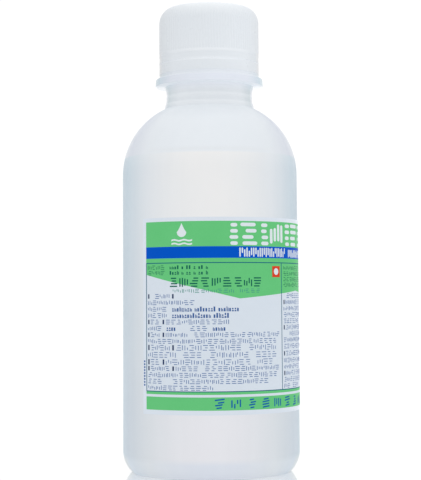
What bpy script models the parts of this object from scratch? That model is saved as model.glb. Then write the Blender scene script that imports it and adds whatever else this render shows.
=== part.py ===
"""Round 100 ml solution bottle with a knurled tamper-evident screw cap.

Units are metres, +Z is up, and the origin is the centre of the foot ring.
The printed front of the label faces -Y.  Each separate piece of the bottle
is one named object, and the cap, the liner and the tamper band stand on the
vertical axis that they turn about and lift along.
"""

from math import asin, cos, pi, radians, sin, sqrt

import bmesh
import bpy
from mathutils import Matrix, Vector

MM = 0.001

# ---- driving dimensions -------------------------------------------------
BODY_RADIUS = 22.0 * MM        # at the top of the heel
BODY_TOP_RADIUS = 21.8 * MM    # at the start of the shoulder
WALL = 0.9 * MM
HEEL_RADIUS = 7.1 * MM
HEEL_CENTRE_Z = 5.3 * MM
FOOT_INNER_RADIUS = 17.0 * MM
PUSH_UP_HEIGHT = 3.0 * MM
SHOULDER_START_Z = 73.3 * MM
SHOULDER_WIDTH = 18.0 * MM     # radial semi-axis of the shoulder's arc
SHOULDER_HEIGHT = 18.4 * MM    # vertical semi-axis of the shoulder's arc

NECK_FOOT_RADIUS = 11.3 * MM
NECK_WAIST_RADIUS = 10.75 * MM
NECK_WAIST_Z = 93.6 * MM
NECK_CURVE_RADIUS = 9.0 * MM
NECK_BORE_RADIUS = 9.3 * MM

FLANGE_RADIUS = 13.5 * MM
FLANGE_UNDERSIDE_Z = 95.9 * MM
FLANGE_RIM_TOP_Z = 97.6 * MM
FLANGE_TOP_Z = 98.6 * MM

FINISH_RADIUS = 9.85 * MM      # root of the neck thread
FINISH_BORE_RADIUS = 8.3 * MM
FINISH_TOP_Z = 111.6 * MM
LOCK_BEAD_RADIUS = 11.0 * MM   # bead that holds the tamper band down
LOCK_BEAD_Z = 101.3 * MM

THREAD_PITCH = 3.0 * MM
THREAD_TURNS = 1.5
THREAD_CREST_RADIUS = 10.85 * MM
THREAD_START_Z = 104.6 * MM
THREAD_ROOT_WIDTH = 1.4 * MM
THREAD_CREST_WIDTH = 0.6 * MM

CAP_RADIUS = 12.5 * MM
CAP_BORE_RADIUS = 11.4 * MM
CAP_RIM_Z = 101.5 * MM
CAP_TOP_Z = 115.4 * MM
CAP_CROWN = 0.2 * MM           # rise of the top's centre
CAP_TOP_WALL = 1.4 * MM
CAP_CORNER_RADIUS = 3.35 * MM
CAP_THREAD_CREST_RADIUS = 10.2 * MM
KNURL_COUNT = 108
KNURL_DEPTH = 0.35 * MM
KNURL_LOW_Z = 103.7 * MM

BAND_LOW_Z = 99.0 * MM
BAND_HIGH_Z = 101.0 * MM
BAND_CATCH_RADIUS = 10.4 * MM  # inner edge that sits under the lock bead
BRIDGE_COUNT = 12
BRIDGE_HEIGHT = 0.2 * MM

GAP = 0.3 * MM                 # room left between pieces that touch
PLUG_FLANGE_THICKNESS = 0.7 * MM
PLUG_DEPTH = 7.0 * MM
PLUG_WALL = 0.9 * MM
PLUG_ORIFICE_RADIUS = 1.5 * MM
LINER_RADIUS = 9.7 * MM
LINER_THICKNESS = 0.8 * MM

FILL_Z = 78.6 * MM

LABEL_LOW_Z = 15.3 * MM
LABEL_HIGH_Z = 62.2 * MM
LABEL_CLEARANCE = 0.12 * MM
LABEL_THICKNESS = 0.15 * MM
LABEL_START_DEG = -48.0        # from the front, positive towards +X
LABEL_SWEEP_DEG = 238.0

BODY_STEPS = 48
CAP_STEPS = 72
ARC_STEPS = 5
MERGE = 0.001 * MM
SHARP_ANGLE = radians(35.0)

# Colour, roughness, metallic and alpha of each piece.
LOOKS = {
    "bottle_body": ((0.80, 0.88, 0.92), 0.35, 0.0, 0.75),
    "pour_plug": ((0.88, 0.92, 0.93), 0.40, 0.0, 1.0),
    "screw_cap": ((0.86, 0.91, 0.95), 0.32, 0.0, 1.0),
    "cap_liner": ((0.90, 0.90, 0.88), 0.80, 0.0, 1.0),
    "tamper_band": ((0.86, 0.91, 0.95), 0.32, 0.0, 1.0),
    "wrap_label": ((0.18, 0.58, 0.24), 0.30, 0.0, 1.0),
    "solution": ((0.72, 0.82, 0.86), 0.05, 0.0, 0.6),
}


# ---- shared tools --------------------------------------------------------
def clear_scene():
    for obj in list(bpy.data.objects):
        bpy.data.objects.remove(obj, do_unlink=True)


def material_for(name):
    colour, roughness, metallic, alpha = LOOKS[name]
    material = bpy.data.materials.new(name)
    material.use_nodes = True
    shader = material.node_tree.nodes["Principled BSDF"]
    shader.inputs["Base Color"].default_value = (*colour, 1.0)
    shader.inputs["Roughness"].default_value = roughness
    shader.inputs["Metallic"].default_value = metallic
    shader.inputs["Alpha"].default_value = alpha
    return material


def finish_object(name, bm, origin_z=0.0):
    """Make an object of the mesh, with its origin on the axis at origin_z."""
    bmesh.ops.remove_doubles(bm, verts=bm.verts, dist=MERGE)
    bmesh.ops.recalc_face_normals(bm, faces=bm.faces)
    bmesh.ops.translate(bm, verts=bm.verts, vec=(0.0, 0.0, -origin_z))
    mesh = bpy.data.meshes.new(name)
    bm.to_mesh(mesh)
    bm.free()
    mesh.shade_smooth()
    mesh.set_sharp_from_angle(angle=SHARP_ANGLE)
    obj = bpy.data.objects.new(name, mesh)
    obj.location = (0.0, 0.0, origin_z)
    bpy.context.scene.collection.objects.link(obj)
    if name in LOOKS:
        mesh.materials.append(material_for(name))
    return obj


def arc(centre_r, centre_z, radius_r, radius_z, start, end, steps=ARC_STEPS):
    """Points (r, z) along an elliptical arc between two angles."""
    points = []
    for i in range(steps + 1):
        angle = start + (end - start) * i / steps
        points.append((centre_r + radius_r * cos(angle), centre_z + radius_z * sin(angle)))
    return points


def revolve(bm, profile, steps, closed=False):
    """Turn a profile of (r, z) points through a full circle about Z."""
    verts = [bm.verts.new((r, 0.0, z)) for r, z in profile]
    edges = [bm.edges.new(pair) for pair in zip(verts, verts[1:])]
    if closed:
        edges.append(bm.edges.new((verts[-1], verts[0])))
    bmesh.ops.spin(bm, geom=verts + edges, cent=(0, 0, 0), axis=(0, 0, 1),
                   angle=2 * pi, steps=steps, use_merge=True)


def thread(name, root_radius, crest_radius, start_z):
    """A helical ridge of trapezoid section that runs out at both ends."""
    bm = bmesh.new()
    steps = int(CAP_STEPS * THREAD_TURNS / 2)
    fade = 4
    rings = []
    for i in range(steps + 1):
        turn = THREAD_TURNS * i / steps
        full = min(1.0, i / fade, (steps - i) / fade)
        crest = root_radius + (crest_radius - root_radius) * (0.15 + 0.85 * full)
        z = start_z + THREAD_PITCH * turn
        spin = Matrix.Rotation(2 * pi * turn, 4, "Z")
        section = ((root_radius, THREAD_ROOT_WIDTH), (crest, THREAD_CREST_WIDTH),
                   (crest, -THREAD_CREST_WIDTH), (root_radius, -THREAD_ROOT_WIDTH))
        rings.append([bm.verts.new(spin @ Vector((r, 0.0, z + width / 2))) for r, width in section])
    for low, high in zip(rings, rings[1:]):
        for a in range(4):
            b = (a + 1) % 4
            bm.faces.new((low[a], low[b], high[b], high[a]))
    bm.faces.new(rings[0])
    bm.faces.new(rings[-1])
    ridge = finish_object(name, bm)
    ridge.hide_render = True
    ridge.display_type = "WIRE"
    return ridge


def join_solid(obj, other):
    """Unite a hidden helper shape with an object."""
    other.parent = obj
    other.matrix_parent_inverse = Matrix.Translation(-obj.location)
    union = obj.modifiers.new(other.name, "BOOLEAN")
    union.operation = "UNION"
    union.solver = "EXACT"
    union.object = other


# ---- bottle ---------------------------------------------------------------
def heel_floor_angle(radius):
    return -asin(HEEL_CENTRE_Z / radius)


def shoulder_angle(inset, end_radius):
    """Angle at which the shoulder's arc, set in by inset, meets a radius."""
    reach = SHOULDER_WIDTH - inset
    along = (end_radius - (BODY_TOP_RADIUS - SHOULDER_WIDTH)) / reach
    return asin(sqrt(1.0 - along * along))


def shoulder(inset, end_radius, steps):
    """The shoulder's arc from the body up to the neck."""
    return arc(BODY_TOP_RADIUS - SHOULDER_WIDTH, SHOULDER_START_Z,
               SHOULDER_WIDTH - inset, SHOULDER_HEIGHT - inset,
               0.0, shoulder_angle(inset, end_radius), steps)


def push_up(edge_radius, low_z, height):
    """The raised middle of the base, from its edge in to the axis."""
    points = []
    for i in range(1, ARC_STEPS + 1):
        share = i / ARC_STEPS
        points.append((edge_radius * (1.0 - share), low_z + height * sin(share * pi / 2)))
    return points


def neck_radius(z):
    """Outer radius of the waisted neck below the flange."""
    return NECK_WAIST_RADIUS + NECK_CURVE_RADIUS - sqrt(
        NECK_CURVE_RADIUS ** 2 - (z - NECK_WAIST_Z) ** 2)


def inner_heel(inset, floor_inset):
    """Heel and base of a surface set in from the bottle's outside."""
    radius = HEEL_RADIUS - inset
    centre_r = BODY_RADIUS - HEEL_RADIUS
    low = -asin((HEEL_CENTRE_Z - floor_inset) / radius)
    points = arc(centre_r, HEEL_CENTRE_Z, radius, radius, 0.0, low)
    return points + push_up(points[-1][0], floor_inset, PUSH_UP_HEIGHT)


def outer_profile():
    """Outside of the bottle from the mouth's lip down to the base's centre."""
    shoulder_points = shoulder(0.0, NECK_FOOT_RADIUS + 0.5 * MM, 8)
    neck_low = shoulder_points[-1][1] + 0.5 * MM
    points = [
        (FINISH_BORE_RADIUS + 0.2 * MM, FINISH_TOP_Z),
        (FINISH_RADIUS - 0.3 * MM, FINISH_TOP_Z),
        (FINISH_RADIUS, FINISH_TOP_Z - 0.3 * MM),
        (FINISH_RADIUS, LOCK_BEAD_Z + 1.0 * MM),
        (LOCK_BEAD_RADIUS, LOCK_BEAD_Z),
        (LOCK_BEAD_RADIUS, LOCK_BEAD_Z - 0.4 * MM),
        (FINISH_RADIUS, LOCK_BEAD_Z - 0.7 * MM),
        (FINISH_RADIUS, FLANGE_TOP_Z),
        (FLANGE_RADIUS - (FLANGE_TOP_Z - FLANGE_RIM_TOP_Z), FLANGE_TOP_Z),
        (FLANGE_RADIUS, FLANGE_RIM_TOP_Z),
        (FLANGE_RADIUS, FLANGE_UNDERSIDE_Z + 0.2 * MM),
        (FLANGE_RADIUS - 0.2 * MM, FLANGE_UNDERSIDE_Z),
        (neck_radius(FLANGE_UNDERSIDE_Z), FLANGE_UNDERSIDE_Z),
    ]
    for share in (0.75, 0.5, 0.25, 0.0):
        z = neck_low + (FLANGE_UNDERSIDE_Z - neck_low) * share
        points.append((neck_radius(z), z))
    points += reversed(shoulder_points)
    points += arc(BODY_RADIUS - HEEL_RADIUS, HEEL_CENTRE_Z, HEEL_RADIUS, HEEL_RADIUS,
                  0.0, heel_floor_angle(HEEL_RADIUS))
    points.append((FOOT_INNER_RADIUS, 0.0))
    points += push_up(FOOT_INNER_RADIUS, 0.0, PUSH_UP_HEIGHT)
    return points


def inner_profile():
    """Inside of the bottle from the base's centre up to the mouth's lip."""
    points = list(reversed(inner_heel(WALL, WALL)))
    points += shoulder(WALL, NECK_BORE_RADIUS, 6)
    points.append((NECK_BORE_RADIUS, FLANGE_UNDERSIDE_Z))
    points.append((FINISH_BORE_RADIUS, FLANGE_RIM_TOP_Z))
    points.append((FINISH_BORE_RADIUS, FINISH_TOP_Z - 0.2 * MM))
    return points


def build_bottle():
    bm = bmesh.new()
    revolve(bm, inner_profile() + outer_profile(), BODY_STEPS)
    bottle = finish_object("bottle_body", bm)
    ridge = thread("neck_thread_form", FINISH_RADIUS - 0.25 * MM, THREAD_CREST_RADIUS,
                   THREAD_START_Z)
    join_solid(bottle, ridge)
    return bottle


def build_solution():
    """The liquid, which fills the bottle up to its level surface."""
    inset = WALL + GAP
    angle = asin((FILL_Z - SHOULDER_START_Z) / (SHOULDER_HEIGHT - inset))
    bm = bmesh.new()
    profile = arc(BODY_TOP_RADIUS - SHOULDER_WIDTH, SHOULDER_START_Z,
                  SHOULDER_WIDTH - inset, SHOULDER_HEIGHT - inset, angle, 0.0, 2)
    profile.insert(0, (0.0, FILL_Z))
    profile += inner_heel(inset, WALL + GAP)
    revolve(bm, profile, BODY_STEPS)
    return finish_object("solution", bm)


def label_radius(z):
    """Outer radius of the tapered body behind the label."""
    share = (z - HEEL_CENTRE_Z) / (SHOULDER_START_Z - HEEL_CENTRE_Z)
    return BODY_RADIUS + (BODY_TOP_RADIUS - BODY_RADIUS) * share


def build_label():
    bm = bmesh.new()
    start = Matrix.Rotation(radians(LABEL_START_DEG - 90.0), 4, "Z")
    corners = []
    for z, out in ((LABEL_LOW_Z, 0.0), (LABEL_LOW_Z, LABEL_THICKNESS),
                   (LABEL_HIGH_Z, LABEL_THICKNESS), (LABEL_HIGH_Z, 0.0)):
        radius = label_radius(z) + LABEL_CLEARANCE + out
        corners.append(bm.verts.new(start @ Vector((radius, 0.0, z))))
    face = bm.faces.new(corners)
    bmesh.ops.spin(bm, geom=[face, *corners, *face.edges], cent=(0, 0, 0), axis=(0, 0, 1),
                   angle=radians(LABEL_SWEEP_DEG), steps=34)
    return finish_object("wrap_label", bm)


# ---- closure ---------------------------------------------------------------
def build_plug():
    """Press-in pouring plug: a lip on the mouth, a skirt and a drip hole."""
    top = FINISH_TOP_Z + GAP + PLUG_FLANGE_THICKNESS
    skirt = FINISH_BORE_RADIUS - GAP
    low = FINISH_TOP_Z - PLUG_DEPTH
    profile = [
        (FINISH_RADIUS - 0.5 * MM, top),
        (FINISH_RADIUS - 0.5 * MM, FINISH_TOP_Z + GAP),
        (skirt, FINISH_TOP_Z + GAP),
        (skirt, low + 0.8 * MM),
        (skirt - 0.4 * MM, low),
        (skirt - PLUG_WALL, low),
        (skirt - PLUG_WALL, top - 2.4 * MM),
        (PLUG_ORIFICE_RADIUS, top - 2.4 * MM),
        (PLUG_ORIFICE_RADIUS, top - 1.5 * MM),
        (skirt - PLUG_WALL, top - 1.5 * MM),
        (skirt - PLUG_WALL, top),
    ]
    bm = bmesh.new()
    revolve(bm, profile, BODY_STEPS, closed=True)
    return finish_object("pour_plug", bm, origin_z=FINISH_TOP_Z)


def liner_low_z():
    return FINISH_TOP_Z + GAP + PLUG_FLANGE_THICKNESS + GAP


def build_liner():
    low = liner_low_z()
    high = low + LINER_THICKNESS
    bm = bmesh.new()
    revolve(bm, [(0.0, high), (LINER_RADIUS, high), (LINER_RADIUS, low), (0.0, low)], BODY_STEPS)
    return finish_object("cap_liner", bm, origin_z=low)


def ring(bm, radius, z, count, ridge=0.0):
    """A closed ring of points whose every other point is set in by ridge."""
    points = []
    for i in range(count):
        angle = 2 * pi * i / count
        r = radius - ridge * (i % 2)
        points.append(bm.verts.new((r * cos(angle), r * sin(angle), z)))
    return points


def skin(bm, rings):
    """Bridge each ring to the next; the counts may differ by a whole factor."""
    for first, second in zip(rings, rings[1:]):
        few, many = (first, second) if len(first) <= len(second) else (second, first)
        factor = len(many) // len(few)
        for i, vert in enumerate(few):
            after = few[(i + 1) % len(few)]
            fan = [many[(i * factor + k) % len(many)] for k in range(factor + 1)]
            if factor == 1:
                bm.faces.new((vert, after, fan[1], fan[0]))
                continue
            for a, b in zip(fan[:-1], fan[1:-1]):
                bm.faces.new((vert, b, a))
            bm.faces.new((vert, after, fan[-1], fan[-2]))


def build_cap():
    ceiling = CAP_TOP_Z - CAP_TOP_WALL
    corner_z = CAP_TOP_Z - CAP_CORNER_RADIUS
    corner_r = CAP_RADIUS - 0.1 * MM - CAP_CORNER_RADIUS
    bm = bmesh.new()
    rings = [
        ring(bm, CAP_BORE_RADIUS - 1.2 * MM, ceiling, CAP_STEPS),
        ring(bm, CAP_BORE_RADIUS, ceiling - 1.2 * MM, CAP_STEPS),
        ring(bm, CAP_BORE_RADIUS, CAP_RIM_Z, CAP_STEPS),
        ring(bm, CAP_RADIUS, CAP_RIM_Z, CAP_STEPS),
        ring(bm, CAP_RADIUS, KNURL_LOW_Z, CAP_STEPS),
        ring(bm, CAP_RADIUS - 0.1 * MM, KNURL_LOW_Z + 0.1 * MM, 2 * KNURL_COUNT, KNURL_DEPTH),
        ring(bm, CAP_RADIUS - 0.15 * MM, corner_z, 2 * KNURL_COUNT, KNURL_DEPTH),
    ]
    for r, z in arc(corner_r, corner_z, CAP_CORNER_RADIUS, CAP_CORNER_RADIUS,
                    radians(18.0), pi / 2, 4):
        rings.append(ring(bm, r, z, CAP_STEPS))
    skin(bm, rings)
    ceiling_centre = bm.verts.new((0.0, 0.0, ceiling))
    top_centre = bm.verts.new((0.0, 0.0, CAP_TOP_Z + CAP_CROWN))
    for centre, edge in ((ceiling_centre, rings[0]), (top_centre, rings[-1])):
        for a, b in zip(edge, edge[1:] + edge[:1]):
            bm.faces.new((centre, a, b))
    cap = finish_object("screw_cap", bm, origin_z=CAP_RIM_Z)
    ridge = thread("cap_thread_form", CAP_BORE_RADIUS + 0.25 * MM, CAP_THREAD_CREST_RADIUS,
                   THREAD_START_Z - THREAD_PITCH / 2)
    join_solid(cap, ridge)
    return cap


def build_band():
    """Tear-off band with the stubs of its bridges along its upper edge."""
    profile = [
        (CAP_BORE_RADIUS, BAND_HIGH_Z),
        (CAP_BORE_RADIUS, BAND_LOW_Z + 1.1 * MM),
        (BAND_CATCH_RADIUS, BAND_LOW_Z + 0.9 * MM),
        (BAND_CATCH_RADIUS, BAND_LOW_Z + 0.5 * MM),
        (CAP_BORE_RADIUS - 0.2 * MM, BAND_LOW_Z),
        (CAP_RADIUS - 0.1 * MM, BAND_LOW_Z),
        (CAP_RADIUS, BAND_LOW_Z + 0.1 * MM),
        (CAP_RADIUS, BAND_HIGH_Z),
    ]
    bm = bmesh.new()
    revolve(bm, profile, CAP_STEPS, closed=True)
    bmesh.ops.remove_doubles(bm, verts=bm.verts, dist=MERGE)
    top = [face for face in bm.faces
           if all(vert.co.z > BAND_HIGH_Z - 0.01 * MM for vert in face.verts)]
    spacing = CAP_STEPS // BRIDGE_COUNT
    stubs = []
    for face in top:
        centre = face.calc_center_median()
        place = round(Vector((1, 0)).angle_signed(centre.xy) / (2 * pi) * CAP_STEPS - 0.5)
        if place % spacing == 0:
            stubs.append(face)
    for face in stubs:
        made = bmesh.ops.extrude_discrete_faces(bm, faces=[face])["faces"]
        bmesh.ops.translate(bm, verts=made[0].verts, vec=(0, 0, BRIDGE_HEIGHT))
    return finish_object("tamper_band", bm, origin_z=BAND_LOW_Z)


def main():
    clear_scene()
    build_bottle()
    build_solution()
    build_label()
    build_plug()
    build_liner()
    build_cap()
    build_band()


main()
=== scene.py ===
"""Looks for the round solution bottle: smooth pieces and materials round the CAD frame.

Lengths are in metres.  The bottle stands on z = 0 round the Z axis, and the
front of its label faces -Y.  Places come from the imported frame; the fine
shapes that it doesn't hold are the named values below.
"""

import random
from math import acos, asin, cos, pi, radians, sin, sqrt, tan

import bpy
import numpy as np
from mathutils import Matrix, Vector


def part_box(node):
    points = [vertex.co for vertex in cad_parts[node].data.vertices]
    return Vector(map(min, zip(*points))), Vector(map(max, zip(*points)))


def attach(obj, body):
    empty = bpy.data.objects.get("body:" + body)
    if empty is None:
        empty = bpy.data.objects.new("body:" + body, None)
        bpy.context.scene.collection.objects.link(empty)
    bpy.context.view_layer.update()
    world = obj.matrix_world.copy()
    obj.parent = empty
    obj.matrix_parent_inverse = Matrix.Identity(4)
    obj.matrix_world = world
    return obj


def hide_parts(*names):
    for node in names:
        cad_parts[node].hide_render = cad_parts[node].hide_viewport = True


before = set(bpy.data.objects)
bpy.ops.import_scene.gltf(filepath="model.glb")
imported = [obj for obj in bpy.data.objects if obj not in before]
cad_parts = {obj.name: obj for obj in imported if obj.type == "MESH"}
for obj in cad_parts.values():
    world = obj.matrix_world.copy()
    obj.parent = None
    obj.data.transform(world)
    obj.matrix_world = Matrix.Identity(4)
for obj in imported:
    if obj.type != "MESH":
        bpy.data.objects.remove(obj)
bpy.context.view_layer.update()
MM = 0.001

# ---- places read from the frame --------------------------
BOTTLE_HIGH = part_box("bottle_body")[1]
PLUG_LOW, PLUG_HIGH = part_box("pour_plug")
CAP_LOW, CAP_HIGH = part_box("screw_cap")
LINER_LOW, LINER_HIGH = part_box("cap_liner")
BAND_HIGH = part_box("tamper_band")[1]
FILL_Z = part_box("solution")[1].z
LEVEL_Z = FILL_Z - 1.0 * MM      # the liquid's surface; the meniscus climbs towards FILL_Z

BODY_RADIUS = BOTTLE_HIGH.x
FINISH_TOP = BOTTLE_HIGH.z
CAP_RADIUS = CAP_HIGH.x
SLIT_Z = (CAP_LOW.z + BAND_HIGH.z) / 2

# ---- bottle shape ----------------------------------------
BODY_TAPER = 0.2 * MM            # how much narrower the body is at the shoulder
WALL = 0.9 * MM
HEEL_RADIUS = 7.1 * MM
HEEL_CENTRE_Z = 5.3 * MM
FOOT_INNER_RADIUS = 17.0 * MM
PUSH_UP_HEIGHT = 3.0 * MM
SHOULDER_START_Z = 73.3 * MM
SHOULDER_WIDTH = 18.0 * MM
SHOULDER_HEIGHT = 18.4 * MM
NECK_FOOT_RADIUS = 11.5 * MM
NECK_WAIST_RADIUS = 10.72 * MM
NECK_WAIST_Z = 93.3 * MM
NECK_CURVE_RADIUS = 9.0 * MM
NECK_BORE_RADIUS = 9.3 * MM
NECK_RINGS_Z = (92.85 * MM, 90.95 * MM)
FLANGE_RADIUS = 13.5 * MM
FLANGE_UNDERSIDE_Z = 95.7 * MM
FLANGE_RIM_TOP_Z = 97.45 * MM
FLANGE_STEP_Z = 97.95 * MM       # where the collar under the band meets the rim's slope
FLANGE_TOP_Z = 98.6 * MM
FINISH_RADIUS = 9.85 * MM
FINISH_BORE_RADIUS = 8.3 * MM
LOCK_BEAD_RADIUS = 11.0 * MM
LOCK_BEAD_Z = 101.2 * MM

# ---- thread ----------------------------------------------
THREAD_PITCH = 3.0 * MM
THREAD_TURNS = 1.5
THREAD_START_Z = 104.6 * MM
THREAD_ROOT_WIDTH = 1.4 * MM
THREAD_CREST_WIDTH = 0.6 * MM
THREAD_HEIGHT = 1.0 * MM
CAP_THREAD_HEIGHT = 1.2 * MM
THREAD_FADE_TURNS = 0.12

# ---- closure ---------------------------------------------
CAP_BORE_RADIUS = 11.4 * MM
CAP_TOP_WALL = 1.4 * MM
CAP_CORNER_WIDTH = 3.36 * MM     # the rounded top corner, across
CAP_CORNER_HEIGHT = 4.0 * MM     # and down
CAP_CROWN = 0.04 * MM
KNURL_COUNT = 108
KNURL_DEPTH = 0.085 * MM
KNURL_LOW_Z = 103.75 * MM
SLIT_WIDTH = 0.03 * MM           # cap rim to band, all but closed until it is torn
SEAT_GAP = 0.02 * MM             # band to flange

# ---- label layout ----------------------------------------
# s runs round the bottle from its front, positive towards +X.
FILM_START = -18.2 * MM
FILM_END = 72.9 * MM
INK_START = -17.05 * MM
INK_END = 71.7 * MM
FILM_LOW_Z = 15.3 * MM
FILM_HIGH_Z = 62.0 * MM
TITLE_BAND_TOP_Z = 61.05 * MM
BLUE_TOP_Z = 55.05 * MM
BLUE_LOW_Z = 52.3 * MM
RULE_Z = 51.1 * MM
RULE_WIDTH = 0.2 * MM
VALLEY_Z = 42.7 * MM             # lowest points of the green field
FIELD_EDGE_Z = 48.5 * MM         # its height at both ends of the label
FIELD_MIDDLE_Z = 44.55 * MM
VALLEY_S = 7.1 * MM
PANEL_RULE_Z = 20.7 * MM
STRIPE_LOW_Z = 20.1 * MM
FOOT_BAND_TOP_Z = 19.5 * MM
FOOT_BAND_LOW_Z = 16.4 * MM
PANEL_LINES_S = (19.5 * MM, 45.6 * MM)

# ---- camera ----------------------------------------------
CAMERA_DISTANCE = 377.78 * MM
CAMERA_HEIGHT = 42.34 * MM
CAMERA_OFFSET = 0.08 * MM
CAMERA_PITCH = 0.0398
CAMERA_ROLL = 0.0064
CAMERA_LENS = 113.28             # millimetres on a 36 mm sensor

SHARP_ANGLE = radians(50.0)
COLUMNS = 240


# ---- mesh tools ------------------------------------------
def make_object(name, verts, faces, material, body, nodes=()):
    """A smooth mesh object that rides on a body and may stand for CAD nodes."""
    mesh = bpy.data.meshes.new(name)
    mesh.from_pydata([tuple(v) for v in verts], [], faces)
    mesh.validate()
    mesh.update()
    mesh.shade_smooth()
    mesh.set_sharp_from_angle(angle=SHARP_ANGLE)
    mesh.materials.append(material)
    obj = bpy.data.objects.new(name, mesh)
    bpy.context.scene.collection.objects.link(obj)
    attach(obj, body)
    if nodes:
        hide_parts(*nodes)
    return obj


def arc(centre_r, centre_z, radius_r, radius_z, start, end, steps):
    """Points (r, z) along an elliptical arc between two angles."""
    angles = [start + (end - start) * i / steps for i in range(steps + 1)]
    return [(centre_r + radius_r * cos(a), centre_z + radius_z * sin(a)) for a in angles]


def rounded(corners, steps=5, closed=False):
    """An outline through (r, z, fillet) corners, with each corner rounded."""
    points = []
    last = len(corners) - 1
    for i, (r, z, fillet) in enumerate(corners):
        if fillet == 0 or (not closed and i in (0, last)):
            points.append((r, z))
            continue
        corner = Vector((r, z))
        before = Vector(corners[i - 1][:2]) - corner
        after = Vector(corners[(i + 1) % len(corners)][:2]) - corner
        cut = min(fillet / tan(before.angle(after) / 2), before.length / 2, after.length / 2)
        first = corner + before.normalized() * cut
        second = corner + after.normalized() * cut
        for k in range(steps + 1):
            t = k / steps
            point = first * (1 - t) ** 2 + corner * 2 * t * (1 - t) + second * t ** 2
            points.append((point.x, point.y))
    return points


def densified(points, longest):
    """The same outline with no step longer than the given length."""
    out = [points[0]]
    for (r0, z0), (r1, z1) in zip(points, points[1:]):
        parts = max(1, int(sqrt((r1 - r0) ** 2 + (z1 - z0) ** 2) / longest + 0.999))
        for k in range(1, parts + 1):
            t = k / parts
            out.append((r0 + (r1 - r0) * t, z0 + (z1 - z0) * t))
    return out


def lathe(profile, angles, shape=None, closed=False):
    """Turn (r, z) points round Z.  shape(angle, r, z) may change each radius.

    Points on the axis become a single vertex.  Returns (verts, faces).
    """
    verts = []
    faces = []
    rings = []
    count = len(angles)
    for r, z in profile:
        if r < 1e-7:
            rings.append([len(verts)] * count)
            verts.append((0.0, 0.0, z))
            continue
        rings.append(list(range(len(verts), len(verts) + count)))
        radii = shape(angles, r, z) if shape else np.full(count, r)
        verts += list(zip(radii * np.cos(angles), radii * np.sin(angles), np.full(count, z)))
    pairs = list(zip(rings, rings[1:]))
    if closed:
        pairs.append((rings[-1], rings[0]))
    for upper, lower in pairs:
        for i in range(count):
            k = (i + 1) % count
            corner = (upper[i], lower[i], lower[k], upper[k])
            face = tuple(dict.fromkeys(corner))
            if len(face) > 2:
                faces.append(face)
    return verts, faces


def stitched(parts):
    """Join (verts, faces) lists into one."""
    verts = []
    faces = []
    for part_verts, part_faces in parts:
        shift = len(verts)
        verts += part_verts
        faces += [tuple(i + shift for i in face) for face in part_faces]
    return verts, faces


def even_angles(count):
    return np.arange(count) * 2 * pi / count


# ---- node tools ------------------------------------------
def add(tree, kind, inputs=None, **settings):
    """Add a node; inputs maps a socket's name or number to a value or an output."""
    node = tree.nodes.new("ShaderNode" + kind)
    for key, value in settings.items():
        setattr(node, key, value)
    for key, value in (inputs or {}).items():
        if isinstance(value, bpy.types.NodeSocket):
            tree.links.new(value, node.inputs[key])
        else:
            node.inputs[key].default_value = value
    return node


def new_material(name):
    material = bpy.data.materials.new(name)
    material.use_nodes = True
    tree = material.node_tree
    shader = tree.nodes["Principled BSDF"]
    return material, tree, shader


def srgb(red, green, blue):
    """Linear colour from 0-255 display values."""
    def linear(value):
        value /= 255.0
        return value / 12.92 if value <= 0.04045 else ((value + 0.055) / 1.055) ** 2.4
    return (linear(red), linear(green), linear(blue), 1.0)


def position(tree):
    return add(tree, "TexCoord").outputs["Object"]


def noise(tree, scale, detail=2.0, stretch=None, roughness=0.5):
    """Noise over the object's own space, in features per metre."""
    vector = position(tree)
    if stretch:
        vector = add(tree, "Mapping", {"Vector": vector, "Scale": stretch}).outputs[0]
    made = add(tree, "TexNoise", {"Vector": vector, "Scale": scale, "Detail": detail,
                                  "Roughness": roughness})
    return made.outputs["Fac"]


def spread(tree, value, low, high, from_low=0.3, from_high=0.7):
    """Map a value onto a range, clamped."""
    return add(tree, "MapRange", {"Value": value, "From Min": from_low, "From Max": from_high,
                                  "To Min": low, "To Max": high}).outputs["Result"]


def math(tree, operation, a, b=0.0):
    return add(tree, "Math", {0: a, 1: b}, operation=operation).outputs[0]


def blend_colour(tree, factor, first, second, mode="MIX"):
    made = add(tree, "Mix", {0: factor}, data_type="RGBA", blend_type=mode)
    for socket, value in ((made.inputs[6], first), (made.inputs[7], second)):
        if isinstance(value, bpy.types.NodeSocket):
            tree.links.new(value, socket)
        else:
            socket.default_value = value
    return made.outputs[2]


def bump(tree, shader, height, strength, distance, under=None):
    inputs = {"Height": height, "Strength": strength, "Distance": distance}
    if under:
        inputs["Normal"] = under
    made = add(tree, "Bump", inputs)
    tree.links.new(made.outputs["Normal"], shader.inputs["Normal"])
    return made.outputs["Normal"]


def connect(tree, output, shader, name):
    tree.links.new(output, shader.inputs[name])


# ---- materials -------------------------------------------
# Tones of a round wall, set in steps of five: where it faces the eye, where it begins
# to turn, where it is well turned, and at its rim.  A thin bright edge ends every wall.
# These tones are painted shade, darker and bluer as a wall turns from the eye; the bright edge is a
# painted highlight.
TONE_PLACES = (0.0, 0.3, 0.65, 0.88)
EDGE_PLACE = 0.97
EDGE_HIGHLIGHT_TONE = (240, 245, 245)
LIQUID_HIGH_TONES = ((230, 230, 230), (215, 220, 225), (185, 200, 210), (175, 190, 200))
LIQUID_LOW_TONES = ((225, 225, 230), (210, 215, 220), (190, 200, 210), (180, 195, 205))
HEEL_TONES = ((215, 220, 230), (215, 220, 225), (200, 210, 220), (205, 210, 210))
AIR_TONES = ((225, 230, 235), (220, 225, 230), (200, 205, 215), (210, 215, 220))
NECK_TONES = ((215, 220, 225), (215, 220, 225), (190, 200, 205), (225, 225, 230))
FLANGE_TONES = ((220, 225, 235), (215, 220, 230), (190, 205, 215), (200, 210, 215))
CAP_TONES = ((220, 225, 230), (220, 225, 230), (205, 210, 215), (200, 200, 200))
PAINTED_GLOW = 0.44                      # painted glow: share of the colour emitted, standing in for light that comes through the plastic
BODY = 0.655                     # share that its surface scatters back
PAINTED_SIDE_LIGHT = 0.045               # painted side light: how much brighter the closure is painted on its right
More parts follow.
